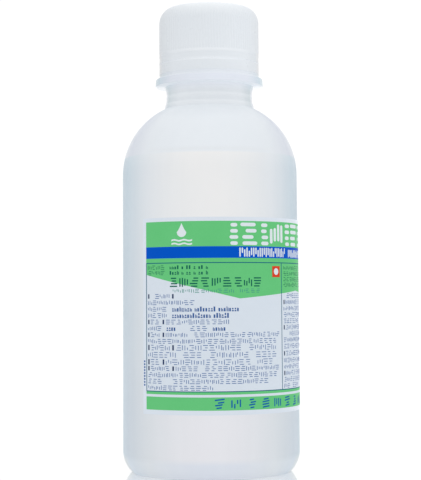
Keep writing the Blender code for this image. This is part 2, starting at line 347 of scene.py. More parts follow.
UNDERSIDE_NEAR = (220, 226, 232)  # painted light on the flange's underside, on the eye's side of the neck
UNDERSIDE_FAR = (252, 253, 254)   # and beyond it, painted near white
LEVEL_FACE_SHARE = 0.4           # how much of the painted shade a level face keeps
# Heights between which one zone of the plastic passes into the next.
LIQUID_FADE_Z = (14.0 * MM, 66.0 * MM)
NECK_FADE_Z = (86.5 * MM, 91.5 * MM)
FLANGE_FADE_Z = (93.9 * MM, 96.0 * MM)
HEEL_FADE_Z = (3.4 * MM, 4.8 * MM)


def turned_away(tree):
    """How far a surface turns from the eye: 0 face on, 1 edge on.  It masks the painted shade.

    Upright walls count by their turn round Z alone, so that a slope up to the
    neck is no darker than the wall under it, but never as more turned than they
    are.  Level faces count by their true turn, at a share of it.
    """
    geometry = add(tree, "NewGeometry")
    level = []
    for name in ("Normal", "Incoming"):
        flat = add(tree, "VectorMath", {0: geometry.outputs[name], 1: (1.0, 1.0, 0.0)},
                   operation="MULTIPLY")
        level.append(flat.outputs["Vector"])
    upright = add(tree, "VectorMath", {0: level[0]}, operation="LENGTH").outputs["Value"]
    unit = [add(tree, "VectorMath", {0: v}, operation="NORMALIZE").outputs["Vector"] for v in level]
    dot = add(tree, "VectorMath", {0: unit[0], 1: unit[1]}, operation="DOT_PRODUCT")
    round_z = math(tree, "SUBTRACT", 1.0, math(tree, "ABSOLUTE", dot.outputs["Value"]))
    plain = add(tree, "LayerWeight", {"Blend": 0.5}).outputs["Facing"]
    round_z = math(tree, "MINIMUM", round_z, plain)
    plain = math(tree, "MULTIPLY", plain, LEVEL_FACE_SHARE)
    share = spread(tree, upright, 0.0, 1.0, 0.05, 0.35)
    return add(tree, "Mix", {0: share, 2: plain, 3: round_z}, data_type="FLOAT").outputs[0]


def towards_eye(tree):
    """1 on the near side of the axis, 0 beside it, -1 on the far side."""
    flat = [add(tree, "VectorMath", {0: v, 1: (1.0, 1.0, 0.0)}, operation="MULTIPLY").outputs[0]
            for v in (position(tree), add(tree, "NewGeometry").outputs["Incoming"])]
    unit = [add(tree, "VectorMath", {0: v}, operation="NORMALIZE").outputs[0] for v in flat]
    return add(tree, "VectorMath", {0: unit[0], 1: unit[1]},
               operation="DOT_PRODUCT").outputs["Value"]


def across(tree, view, tones):
    """Painted shade: a colour ramp over the facing value, through a zone's tones to the painted
    bright edge.
    """
    node = add(tree, "ValToRGB", {"Fac": view})
    ramp = node.color_ramp
    stops = [*zip(TONE_PLACES, tones), (EDGE_PLACE, EDGE_HIGHLIGHT_TONE)]
    while len(ramp.elements) < len(stops):
        ramp.elements.new(1.0)
    for element, (place, tone) in zip(ramp.elements, stops):
        element.position = place
        element.color = srgb(*tone)
    return node.outputs["Color"]


def with_painted_glow(tree, shader, colour, glow=PAINTED_GLOW, body=BODY):
    """Painted glow: part of the colour is emitted, standing in for light that scatters inside the
    plastic, and part is lit.
    """
    connect(tree, blend_colour(tree, 1.0, colour, (body, body, body, 1.0), "MULTIPLY"),
            shader, "Base Color")
    connect(tree, colour, shader, "Emission Color")
    shader.inputs["Emission Strength"].default_value = glow


def painted_light_from_right(tree, colour, share=1.0):
    """Painted side light: lighten the colour on the +X side and darken it on the -X side."""
    place = add(tree, "NewGeometry").outputs["Position"]
    x = add(tree, "SeparateXYZ", {0: place}).outputs["X"]
    side = spread(tree, x, -PAINTED_SIDE_LIGHT, PAINTED_SIDE_LIGHT, -CAP_RADIUS, CAP_RADIUS)
    scale = math(tree, "ADD", math(tree, "MULTIPLY", side, share), 1.0)
    return add(tree, "VectorMath", {0: colour, "Scale": scale}, operation="SCALE").outputs[0]


def painted_highlight_ring(tree, colour, z, centre, half, amount):
    """Painted highlight: lighten the colour in a narrow ring round one height, where an edge catches
    light.
    """
    away = math(tree, "ABSOLUTE", math(tree, "SUBTRACT", z, centre))
    share = math(tree, "MULTIPLY", spread(tree, away, 1.0, 0.0, half * 0.3, half), amount)
    return blend_colour(tree, share, colour, srgb(250, 252, 254))


def bottle_plastic():
    """Natural polyethylene: milky, with painted shade that is bluer and darker where it turns away.

    It is bluer over the air than over the liquid, and a fine darker line runs
    just over the level.
    """
    material, tree, shader = new_material("natural_polyethylene")
    z = add(tree, "SeparateXYZ", {0: position(tree)}).outputs["Z"]
    view = turned_away(tree)
    height = spread(tree, z, 0.0, 1.0, *LIQUID_FADE_Z)
    wet = blend_colour(tree, height, across(tree, view, LIQUID_LOW_TONES),
                       across(tree, view, LIQUID_HIGH_TONES))
    # Painted light: the wet wall lightens towards white just under the level.
    painted_level_light = spread(tree, z, 0.0, 0.1, LEVEL_Z - 3.0 * MM, LEVEL_Z)
    wet = blend_colour(tree, painted_level_light, wet, srgb(248, 248, 248))
    level = spread(tree, z, 0.0, 1.0, LEVEL_Z - 0.2 * MM, LEVEL_Z + 0.3 * MM)
    colour = blend_colour(tree, level, wet, across(tree, view, AIR_TONES))
    into_neck = spread(tree, z, 0.0, 1.0, *NECK_FADE_Z)
    colour = blend_colour(tree, into_neck, colour, across(tree, view, NECK_TONES))
    into_flange = spread(tree, z, 0.0, 1.0, *FLANGE_FADE_Z)
    colour = blend_colour(tree, into_flange, colour, across(tree, view, FLANGE_TONES))
    chamfer = spread(tree, z, 0.0, 0.6, FLANGE_RIM_TOP_Z - 0.1 * MM, FLANGE_RIM_TOP_Z + 0.2 * MM)
    colour = blend_colour(tree, chamfer, colour, across(tree, view, CAP_TONES))
    # Painted highlights on the two neck rings.
    for ring_z in NECK_RINGS_Z:
        colour = painted_highlight_ring(tree, colour, z, ring_z, 0.7 * MM, 0.14)
    # Painted light on the neck just under the flange, lifting the shade that the flange casts there.
    colour = painted_highlight_ring(tree, colour, z, FLANGE_UNDERSIDE_Z - 0.6 * MM, 1.3 * MM, 0.06)
    line = math(tree, "ABSOLUTE", math(tree, "SUBTRACT", z, LEVEL_Z + 0.75 * MM))
    line = math(tree, "MULTIPLY", spread(tree, line, 0.3, 0.0, 0.1 * MM, 0.9 * MM),
                spread(tree, view, 1.0, 0.0, 0.1, 0.4))
    colour = blend_colour(tree, line, colour, srgb(216, 219, 221))
    # The raised base shows through the heel as a darker, bluer patch.
    low = spread(tree, z, 1.0, 0.0, *HEEL_FADE_Z)
    colour = blend_colour(tree, low, colour, across(tree, view, HEEL_TONES))
    mottle = spread(tree, noise(tree, 90.0, 3.0), 0.0, 0.10)
    colour = blend_colour(tree, mottle, colour, srgb(214, 221, 228))
    streak = spread(tree, noise(tree, 60.0, 2.0, (6.0, 6.0, 0.4)), 0.0, 0.06)
    colour = blend_colour(tree, streak, colour, srgb(245, 248, 250))
    # Painted light on the flange's underside: near white on its far side, lit by the studio, and
    # paler on its near side, lit through the neck.
    down = add(tree, "SeparateXYZ", {0: add(tree, "NewGeometry").outputs["Normal"]}).outputs["Z"]
    under = math(tree, "MULTIPLY", spread(tree, down, 1.0, 0.0, -0.95, -0.5), into_flange)
    near = spread(tree, towards_eye(tree), 0.0, 1.0, -0.1, 0.25)
    shade = blend_colour(tree, near, srgb(*UNDERSIDE_FAR), srgb(*UNDERSIDE_NEAR))
    colour = blend_colour(tree, under, colour, shade)
    # Painted glow, and painted side light over the flange zone.
    with_painted_glow(tree, shader, painted_light_from_right(tree, colour, into_flange))
    shader.inputs["Specular IOR Level"].default_value = 0.3
    grain = spread(tree, noise(tree, 700.0, 3.0), 0.38, 0.5)
    connect(tree, grain, shader, "Roughness")
    fine = bump(tree, shader, noise(tree, 1500.0, 2.0), 0.2, 0.02 * MM)
    bump(tree, shader, noise(tree, 260.0, 2.0, (1.0, 1.0, 0.35)), 0.3, 0.05 * MM, fine)
    return material


def moulded_white(name, tones, roughness, lines=()):
    """Moulded plastic with faint flow marks and fine grain, painted shade where it turns away, and
    painted highlight lines along its edges.
    """
    material, tree, shader = new_material(name)
    flow = spread(tree, noise(tree, 130.0, 3.0, (1.0, 1.0, 0.5)), 0.0, 0.12)
    view = turned_away(tree)
    colour = across(tree, view, tones)
    z = add(tree, "SeparateXYZ", {0: position(tree)}).outputs["Z"]
    # Painted highlight lines along edges, fading as the surface turns away.
    for centre, half, amount, reach in lines:
        fade = spread(tree, view, amount, 0.0, 0.0, reach)
        colour = painted_highlight_ring(tree, colour, z, centre, half, fade)
    # Painted light: faces that look up and face the eye are lightened towards white.
    up = add(tree, "SeparateXYZ", {0: add(tree, "NewGeometry").outputs["Normal"]}).outputs["Z"]
    crown = math(tree, "MULTIPLY", spread(tree, up, 0.0, 0.4, 0.1, 0.7),
                 spread(tree, view, 1.0, 0.0, 0.05, 0.35))
    colour = blend_colour(tree, crown, colour, srgb(250, 253, 254))
    colour = blend_colour(tree, flow, colour, srgb(212, 219, 228))
    # Painted glow, and painted side light on the closure.
    with_painted_glow(tree, shader, painted_light_from_right(tree, colour))
    shader.inputs["Specular IOR Level"].default_value = 0.35
    rough = spread(tree, noise(tree, 900.0, 4.0), roughness - 0.05, roughness + 0.09)
    connect(tree, rough, shader, "Roughness")
    fine = bump(tree, shader, noise(tree, 1800.0, 2.0), 0.06, 0.015 * MM)
    bump(tree, shader, noise(tree, 420.0, 2.0), 0.08, 0.03 * MM, fine)
    return material


def ink(name, colour, shade):
    """Printing ink: small changes of density and a faint press grain."""
    material, tree, shader = new_material(name)
    cloud = spread(tree, noise(tree, 160.0, 3.0), 0.0, 0.5)
    grain = spread(tree, noise(tree, 4500.0, 2.0), 0.0, 0.35)
    base = blend_colour(tree, cloud, colour, shade)
    # Painted glow: part of the ink's colour is emitted.
    with_painted_glow(tree, shader, blend_colour(tree, grain, base, shade), 0.3, 0.66)
    shader.inputs["Specular IOR Level"].default_value = 0.03
    rough = spread(tree, noise(tree, 1500.0, 2.0), 0.34, 0.46)
    connect(tree, rough, shader, "Roughness")
    bump(tree, shader, noise(tree, 1800.0, 3.0), 0.15, 0.01 * MM)
    return material


def label_film():
    """Thin satin film, a little milky, as the bottle shows through its margin."""
    material, tree, shader = new_material("label_film")
    cloud = spread(tree, noise(tree, 120.0, 2.0), 0.0, 0.4)
    colour = blend_colour(tree, cloud, srgb(213, 221, 231), srgb(207, 216, 226))
    # Painted glow: part of the film's colour is emitted.
    with_painted_glow(tree, shader, colour)
    shader.inputs["Specular IOR Level"].default_value = 0.25
    rough = spread(tree, noise(tree, 800.0, 3.0), 0.26, 0.38)
    connect(tree, rough, shader, "Roughness")
    bump(tree, shader, noise(tree, 220.0, 2.0), 0.2, 0.02 * MM)
    return material


def liquid():
    """Clear watery solution with a faint cloud."""
    material, tree, shader = new_material("clear_solution")
    cloud = spread(tree, noise(tree, 70.0, 2.0), 0.0, 0.5)
    colour = blend_colour(tree, cloud, srgb(238, 244, 246), srgb(228, 238, 242))
    connect(tree, colour, shader, "Base Color")
    rough = spread(tree, noise(tree, 300.0, 2.0), 0.02, 0.08)
    connect(tree, rough, shader, "Roughness")
    shader.inputs["IOR"].default_value = 1.333
    shader.inputs["Transmission Weight"].default_value = 0.9
    return material


def foam():
    """Foamed wad: matte, with small open cells."""
    material, tree, shader = new_material("foamed_liner")
    cells = add(tree, "TexVoronoi", {"Vector": position(tree), "Scale": 3000.0}).outputs["Distance"]
    shade = spread(tree, cells, 0.0, 1.0, 0.1, 0.6)
    colour = blend_colour(tree, shade, srgb(214, 214, 208), srgb(238, 238, 232))
    # Painted glow: part of the foam's colour is emitted.
    with_painted_glow(tree, shader, colour, 0.2, 0.75)
    shader.inputs["Roughness"].default_value = 0.85
    bump(tree, shader, cells, 0.5, 0.05 * MM)
    return material


def floor_gloss():
    """Pale polished board that mirrors what stands on it."""
    material, tree, shader = new_material("pale_gloss_floor")
    cloud = spread(tree, noise(tree, 6.0, 2.0), 0.0, 0.3)
    colour = blend_colour(tree, cloud, (1.0, 1.0, 1.0, 1.0), (0.97, 0.98, 0.99, 1.0))
    connect(tree, colour, shader, "Base Color")
    shader.inputs["Metallic"].default_value = 0.5
    shader.inputs["Emission Color"].default_value = (1.0, 1.0, 1.0, 1.0)
    shader.inputs["Emission Strength"].default_value = 0.04
    shader.inputs["Roughness"].default_value = 0.06
    return material


# ---- bottle pieces ---------------------------------------
def body_radius(z):
    """Outer radius of the straight body, which narrows slightly upwards."""
    return BODY_RADIUS - BODY_TAPER * (z - HEEL_CENTRE_Z) / (SHOULDER_START_Z - HEEL_CENTRE_Z)


def thread_ridge(angles, z, start_z, height):
    """Height of the helical ridge at each angle, at one level."""
    rise = np.zeros(len(angles))
    turn_here = (angles % (2 * pi)) / (2 * pi)
    for whole in range(-1, 3):
        turns = turn_here + whole
        away = np.abs(z - start_z - THREAD_PITCH * turns)
        side = (THREAD_ROOT_WIDTH - THREAD_CREST_WIDTH) / 2
        section = np.clip((THREAD_ROOT_WIDTH / 2 - away) / side, 0.0, 1.0)
        section = section * section * (3 - 2 * section)
        ends = np.minimum(turns, THREAD_TURNS - turns) / THREAD_FADE_TURNS
        rise = np.maximum(rise, section * np.clip(ends, 0.0, 1.0))
    return rise * height


def shoulder_points(inset, end_radius, steps):
    centre_r = BODY_RADIUS - BODY_TAPER - SHOULDER_WIDTH
    reach = SHOULDER_WIDTH - inset
    end = acos((end_radius - centre_r) / reach)
    return arc(centre_r, SHOULDER_START_Z, reach, SHOULDER_HEIGHT - inset, 0.0, end, steps)


def neck_points(low_z, high_z, steps):
    """The waisted neck from low to high, with two faint rings."""
    points = []
    for i in range(steps + 1):
        z = low_z + (high_z - low_z) * i / steps
        r = NECK_WAIST_RADIUS + NECK_CURVE_RADIUS - sqrt(
            NECK_CURVE_RADIUS ** 2 - (z - NECK_WAIST_Z) ** 2)
        for ring_z in NECK_RINGS_Z:
            r += 0.1 * MM * max(0.0, 1.0 - abs(z - ring_z) / (0.5 * MM))
        points.append((r, z))
    return points


def base_points(inset, floor_z, foot_radius):
    """Heel, foot and raised middle of the base, from the side in to the axis."""
    radius = HEEL_RADIUS - inset
    centre_r = BODY_RADIUS - HEEL_RADIUS
    low = -asin((HEEL_CENTRE_Z - floor_z) / radius)
    points = arc(centre_r, HEEL_CENTRE_Z, radius, radius, 0.0, low, 22)
    if foot_radius:
        points += rounded([(points[-1][0], floor_z, 0.0), (foot_radius, floor_z, 0.6 * MM),
                           (foot_radius - 1.2 * MM, floor_z + 0.8 * MM, 0.5 * MM),
                           (foot_radius - 2.0 * MM, floor_z + 0.9 * MM, 0.0)])[1:]
    edge_r, edge_z = points[-1]
    rise = floor_z + PUSH_UP_HEIGHT - edge_z
    for i in range(1, 13):
        share = i / 12
        points.append((edge_r * (1.0 - share), edge_z + rise * sin(share * pi / 2)))
    return points


def bottle_outside():
    """Outer outline from the mouth's lip down to the base's centre."""
    finish = rounded([
        (FINISH_BORE_RADIUS, FINISH_TOP - 0.3 * MM, 0.0),
        (FINISH_BORE_RADIUS, FINISH_TOP, 0.25 * MM),
        (FINISH_RADIUS, FINISH_TOP, 0.35 * MM),
        (FINISH_RADIUS, LOCK_BEAD_Z + 1.2 * MM, 0.3 * MM),
        (LOCK_BEAD_RADIUS, LOCK_BEAD_Z + 0.05 * MM, 0.15 * MM),
        (LOCK_BEAD_RADIUS, LOCK_BEAD_Z - 0.4 * MM, 0.15 * MM),
        (FINISH_RADIUS, LOCK_BEAD_Z - 0.7 * MM, 0.2 * MM),
        (FINISH_RADIUS, FLANGE_TOP_Z, 0.3 * MM),
        (CAP_RADIUS - 0.08 * MM, FLANGE_TOP_Z, 0.06 * MM),
        (CAP_RADIUS - 0.04 * MM, FLANGE_STEP_Z, 0.08 * MM),
        (FLANGE_RADIUS - 0.15 * MM, FLANGE_RIM_TOP_Z, 0.25 * MM),
        (FLANGE_RADIUS, FLANGE_UNDERSIDE_Z, 0.3 * MM),
        (NECK_WAIST_RADIUS + 0.3 * MM, FLANGE_UNDERSIDE_Z, 0.3 * MM),
        (NECK_WAIST_RADIUS + 0.22 * MM, FLANGE_UNDERSIDE_Z - 0.7 * MM, 0.0),
    ])
    shoulder = shoulder_points(0.0, NECK_FOOT_RADIUS, 48)
    low_z = shoulder[-1][1] + 0.5 * MM
    neck = neck_points(low_z, FLANGE_UNDERSIDE_Z - 0.8 * MM, 44)
    neck_end = neck[0]
    bend = rounded([(*neck[1], 0.0), (neck_end[0] + 0.03 * MM, shoulder[-1][1] + 0.2 * MM, 0.4 * MM),
                    (*shoulder[-2], 0.0)], 6)
    base = base_points(0.0, 0.0, FOOT_INNER_RADIUS)
    side = densified([shoulder[0], base[0]], 3.0 * MM)
    outline = finish + neck[:0:-1] + bend[1:-1] + shoulder[-2:0:-1] + side[:-1] + base
    return outline


def bottle_inside():
    """Inner outline from the base's centre up to the mouth's lip."""
    base = base_points(WALL, WALL, 0.0)
    shoulder = shoulder_points(WALL, NECK_BORE_RADIUS, 24)
    side = densified([base[0], shoulder[0]], 6.0 * MM)
    neck = rounded([(*shoulder[-1], 0.0), (NECK_BORE_RADIUS, FLANGE_UNDERSIDE_Z, 1.0 * MM),
                    (FINISH_BORE_RADIUS, FLANGE_RIM_TOP_Z, 1.0 * MM),
                    (FINISH_BORE_RADIUS, FINISH_TOP - 0.3 * MM, 0.0)])
    return base[:0:-1] + side[:-1] + shoulder[:-1] + neck[:-1]


def build_bottle(material):
    outside = bottle_outside()
    thread_low = THREAD_START_Z - THREAD_PITCH
    outline = []
    for a, b in zip(outside, outside[1:]):
        in_thread = a[1] > thread_low and a[0] > FINISH_RADIUS - 0.01 * MM
        outline += densified([a, b], 0.13 * MM if in_thread else 1.0)[:-1]
    outline.append(outside[-1])
    inside = bottle_inside()

    def shape(angles, r, z):
        on_wall = abs(r - FINISH_RADIUS) < 0.02 * MM
        if z > thread_low and on_wall:
            return r + thread_ridge(angles, z, THREAD_START_Z, THREAD_HEIGHT)
        return np.full(len(angles), r)

    verts, faces = lathe(inside + outline, even_angles(COLUMNS), shape)
    return make_object("bottle_shell", verts, faces, material, "bottle", ["bottle_body"])


def build_solution(material):
    """The liquid, with a meniscus that climbs the wall."""
    inset = WALL + 0.02 * MM
    centre_r = BODY_RADIUS - BODY_TAPER - SHOULDER_WIDTH
    end = asin((LEVEL_Z + 0.6 * MM - SHOULDER_START_Z) / (SHOULDER_HEIGHT - inset))
    shoulder = arc(centre_r, SHOULDER_START_Z, SHOULDER_WIDTH - inset, SHOULDER_HEIGHT - inset,
                   0.0, end, 8)
    base = base_points(inset, inset, 0.0)
    top = rounded([(0.0, LEVEL_Z, 0.0), (shoulder[-1][0] - 1.0 * MM, LEVEL_Z, 1.5 * MM),
                   (*shoulder[-1], 0.0)])
    side = densified([shoulder[0], base[0]], 6.0 * MM)
    profile = top[:-1] + shoulder[::-1] + side[1:-1] + base
    verts, faces = lathe(profile, even_angles(96))
    return make_object("liquid_fill", verts, faces, material, "bottle", ["solution"])


def build_plug(material):
    top = PLUG_HIGH.z
    lip = PLUG_HIGH.x
    lip_low = FINISH_TOP + 0.05 * MM
    skirt = FINISH_BORE_RADIUS - 0.08 * MM
    low = PLUG_LOW.z
    inner = skirt - 0.9 * MM
    profile = rounded([
        (lip, top, 0.2 * MM), (lip, lip_low, 0.15 * MM), (skirt, lip_low, 0.1 * MM),
        (skirt, low + 0.9 * MM, 0.3 * MM), (skirt - 0.4 * MM, low, 0.2 * MM),
        (inner, low, 0.15 * MM), (inner, top - 2.4 * MM, 0.3 * MM),
        (1.5 * MM, top - 2.4 * MM, 0.15 * MM), (1.5 * MM, top - 1.1 * MM, 0.2 * MM),
        (2.4 * MM, top - 1.1 * MM, 0.2 * MM), (2.7 * MM, top - 1.5 * MM, 0.2 * MM),
        (inner, top - 1.5 * MM, 0.4 * MM), (inner, top, 0.25 * MM)], 5, True)
    verts, faces = lathe(profile, even_angles(120), closed=True)
    return make_object("drip_plug", verts, faces, material, "bottle", ["pour_plug"])


# ---- closure pieces --------------------------------------
def knurled(angles, r, z):
    """Radius of the cap's outside, with ridges that fade into the top corner."""
    top_fade = np.clip((CAP_HIGH.z - 0.9 * MM - z) / (1.8 * MM), 0.0, 1.0)
    low_fade = np.clip((z - KNURL_LOW_Z) / (0.12 * MM), 0.0, 1.0)
    wave = 0.5 - 0.5 * np.cos(angles * KNURL_COUNT)
    return r - KNURL_DEPTH * top_fade * low_fade * wave ** 1.3


def cap_outside():
    """Outer outline of the cap from its top centre down to its rim."""
    corner_r = CAP_RADIUS - 0.02 * MM - CAP_CORNER_WIDTH
    corner_z = CAP_HIGH.z - CAP_CROWN - CAP_CORNER_HEIGHT
    crown = [(corner_r * share, CAP_HIGH.z - CAP_CROWN * share ** 2) for share in (0.0, 0.35, 0.7)]
    corner = arc(corner_r, corner_z, CAP_CORNER_WIDTH, CAP_CORNER_HEIGHT, pi / 2 - 0.05, 0.0, 18)
    rim = SLIT_Z + SLIT_WIDTH / 2
    skirt = rounded([
        (*corner[-1], 0.0),
        (CAP_RADIUS - 0.01 * MM, KNURL_LOW_Z + 0.12 * MM, 0.0),
        (CAP_RADIUS - 0.01 * MM, KNURL_LOW_Z, 0.0),
        (CAP_RADIUS + 0.02 * MM, KNURL_LOW_Z - 0.15 * MM, 0.1 * MM),
        (CAP_RADIUS + 0.02 * MM, KNURL_LOW_Z - 0.65 * MM, 0.1 * MM),
        (CAP_RADIUS - 0.04 * MM, KNURL_LOW_Z - 0.8 * MM, 0.1 * MM),
        (CAP_RADIUS, rim + 0.06 * MM, 0.05 * MM),
        (CAP_RADIUS - 0.05 * MM, rim, 0.03 * MM),
        (CAP_RADIUS - 0.3 * MM, rim, 0.0),
    ], 4)
    return crown + corner + skirt[1:]


def build_cap(material):
    fine = even_angles(KNURL_COUNT * 6)
    coarse = even_angles(KNURL_COUNT * 2)
    outer = lathe(cap_outside(), fine, knurled)
    rim = SLIT_Z + SLIT_WIDTH / 2
    ceiling = CAP_HIGH.z - CAP_TOP_WALL - 0.2 * MM
    inside = rounded([(CAP_RADIUS - 0.3 * MM, rim, 0.0), (CAP_BORE_RADIUS, rim, 0.2 * MM),
                      (CAP_BORE_RADIUS, ceiling, 1.0 * MM), (0.0, ceiling, 0.0)])
    inside = [inside[0]] + densified(inside[1:], 0.16 * MM)[:-1]
    inside = [p for p in inside if p[0] > 9.0 * MM] + [(5.0 * MM, ceiling), (0.0, ceiling)]

    def shape(angles, r, z):
        if abs(r - CAP_BORE_RADIUS) < 0.02 * MM and z < ceiling - 1.0 * MM:
            return r - thread_ridge(angles, z, THREAD_START_Z - THREAD_PITCH / 2,
                                    CAP_THREAD_HEIGHT)
        return np.full(len(angles), r)

    inner = lathe(inside, coarse, shape)
    verts, faces = stitched([outer, inner])
    # The outline's last fine ring and the inside's first coarse ring share the rim.
    rim_fine = len(outer[0]) - len(fine)
    rim_coarse = len(outer[0])
    for i in range(len(coarse)):
        k = (i + 1) % len(coarse)
        fan = [rim_fine + (3 * i + step) % len(fine) for step in range(4)]
        faces.append((rim_coarse + k, rim_coarse + i, fan[0], fan[1], fan[2], fan[3]))
    return make_object("knurled_cap", verts, faces, material, "cap", ["screw_cap"])


def build_band(material):
    top = SLIT_Z - SLIT_WIDTH / 2
    low = FLANGE_TOP_Z + SEAT_GAP
    catch = 10.45 * MM
    profile = rounded([
        (CAP_BORE_RADIUS, top, 0.1 * MM), (CAP_BORE_RADIUS, low + 1.3 * MM, 0.2 * MM),
        (catch, low + 1.1 * MM, 0.15 * MM), (catch, low + 0.7 * MM, 0.15 * MM),
        (CAP_BORE_RADIUS - 0.3 * MM, low, 0.2 * MM), (CAP_RADIUS, low, 0.1 * MM),
        (CAP_RADIUS, top - 0.16 * MM, 0.1 * MM), (CAP_RADIUS - 0.14 * MM, top, 0.04 * MM)],
        4, True)
    verts, faces = lathe(profile, even_angles(COLUMNS), closed=True)
    return make_object("tear_band", verts, faces, material, "band", ["tamper_band"])


def build_liner(material):
    low = LINER_LOW.z - 0.1 * MM
    high = LINER_HIGH.z + 0.1 * MM
    r = LINER_HIGH.x
    profile = rounded([(0.0, high, 0.0), (r, high, 0.15 * MM), (r, low, 0.15 * MM),
                       (9.2 * MM, low, 0.1 * MM), (9.0 * MM, low + 0.06 * MM, 0.1 * MM),
                       (8.4 * MM, low + 0.06 * MM, 0.1 * MM), (8.2 * MM, low, 0.1 * MM),
                       (0.0, low, 0.0)], 4)
    verts, faces = lathe(profile, even_angles(96))
    return make_object("foam_wad", verts, faces, material, "liner", ["cap_liner"])


# ---- label -----------------------------------------------
class Sheet:
    """Collects thin closed slabs that lie round the bottle."""

    def __init__(self, low, thickness):
        self.low = low
        self.high = low + thickness
        self.verts = []
        self.faces = []

    def strip(self, start, end, bottom, top, breaks=(), step=1.2 * MM):
        """A slab from start to end along s, between two heights or height curves."""
        bottom_at = bottom if callable(bottom) else (lambda s: bottom)
        top_at = top if callable(top) else (lambda s: top)
        places = [start, *[b for b in breaks if start < b < end], end]
        stations = [start]
        for a, b in zip(places, places[1:]):
            parts = max(1, int((b - a) / step + 0.999))
            stations += [a + (b - a) * k / parts for k in range(1, parts + 1)]
        first = len(self.verts)
        for s in stations:
            angle = s / BODY_RADIUS - pi / 2
            low_z, high_z = bottom_at(s), top_at(s)
            for z, lift in ((low_z, self.low), (high_z, self.low),
                            (high_z, self.high), (low_z, self.high)):
                r = body_radius(z) + lift
                self.verts.append((r * cos(angle), r * sin(angle), z))
        for k in range(len(stations) - 1):
            a = first + 4 * k
            b = a + 4
            for i in range(4):
                j = (i + 1) % 4
                self.faces.append((a + j, a + i, b + i, b + j))
        last = first + 4 * (len(stations) - 1)
        self.faces.append((first, first + 1, first + 2, first + 3))
        self.faces.append((last + 3, last + 2, last + 1, last))

    def capsule(self, start, end, low, high, slant=0.0):
        """A slab with rounded ends, whichever way it is long."""
        radius = min(end - start, high - low) / 2

        def inset(s):
            x = max(0.0, radius - min(s - start, end - s))
            return min(0.7 * radius, radius - sqrt(max(0.0, radius ** 2 - x ** 2)))

        near = [radius * share for share in (0.12, 0.4, 1.0)]
        breaks = sorted({start + d for d in near} | {end - d for d in near})
        self.strip(start, end, lambda s: low + inset(s) + slant * (s - start),
                   lambda s: high - inset(s) + slant * (s - start), breaks)

    def build(self, name, material):
        return make_object(name, self.verts, self.faces, material, "bottle",
                           ["wrap_label"] if name == "label_film" else ())


FILM_THICKNESS = 0.06 * MM
FILM_LIFT = 0.02 * MM
INK_THICKNESS = 0.012 * MM


def ink_layer(number):
    """A sheet for the ink layer with this number, counted up from the film."""
    return Sheet(FILM_LIFT + FILM_THICKNESS + number * INK_THICKNESS + 0.002 * MM, INK_THICKNESS)


def middle_s():
    return (INK_START + INK_END) / 2


def field_edge(s):
    """Lower edge of the green field: two valleys, alike about the label's middle."""
    away = abs(s - middle_s())
    valley = middle_s() - VALLEY_S
    half = INK_END - middle_s()
    if away < valley:
        return FIELD_MIDDLE_Z + (VALLEY_Z - FIELD_MIDDLE_Z) * away / valley
    return VALLEY_Z + (FIELD_EDGE_Z - VALLEY_Z) * (away - valley) / (half - valley)


def weave(sheet, start, width, low, height, count, stroke, rng, lying, soft=False, slant=0.0,
          shortest=0.45):
    """One cell of plain bars, lying or standing, of uneven length: a stand-in for print."""
    if lying:
        pitch = (height - stroke) / (count - 1)
    else:
        pitch = (width - stroke) / (count - 1)
    for i in range(count):
        share = rng.uniform(shortest, 1.0)
        place = (1.0 - share) * rng.random()
        if lying:
            left, right = start + width * place, start + width * (place + share)
            bottom, top = low + pitch * i, low + pitch * i + stroke
        else:
            left, right = start + pitch * i, start + pitch * i + stroke
            bottom, top = low + height * place, low + height * (place + share)
        if soft:
            sheet.capsule(left, right, bottom, top, slant)
        else:
            sheet.strip(left, right, bottom, top)


def small_print(sheet, start, end, z, height, rng, pitch=1.42 * MM, stroke=0.14 * MM):
    """One line of small print as cells of bars, with a gap here and there."""
    s = start
    while s + pitch * 0.8 < end:
        if rng.random() > 0.05:
            lying = rng.random() < 0.6
            weave(sheet, s, pitch * 0.86, z - height / 2, height, 3, stroke, rng, lying)
        s += pitch


def bold_words(sheet, start, words, z, height, rng, pitch=0.64 * MM):
    """Words of bold print as rows of small blocks of uneven height."""
    s = start
    low = z - height / 2
    for letters in words:
        for _ in range(letters):
            tall = height * (1.0 if rng.random() < 0.3 else 0.7)
            kind = rng.random()
            if kind < 0.4:
                sheet.strip(s, s + pitch * 0.6, low, low + tall)
            elif kind < 0.75:
                sheet.strip(s, s + pitch * 0.3, low, low + tall)
                sheet.strip(s + pitch * 0.46, s + pitch * 0.74, low, low + tall * 0.75)
            else:
                sheet.strip(s, s + pitch * 0.7, low, low + tall * 0.35)
                sheet.strip(s + pitch * 0.1, s + pitch * 0.6, low + tall * 0.55, low + tall)
            s += pitch
        s += pitch * 0.8
    return s


def heading_bar(sheet, s, z, height):
    """A heading mark: a short upright bar, thicker than the print."""
    width = 0.42 * MM
    sheet.strip(s, s + width, z - height / 2, z + height / 2)


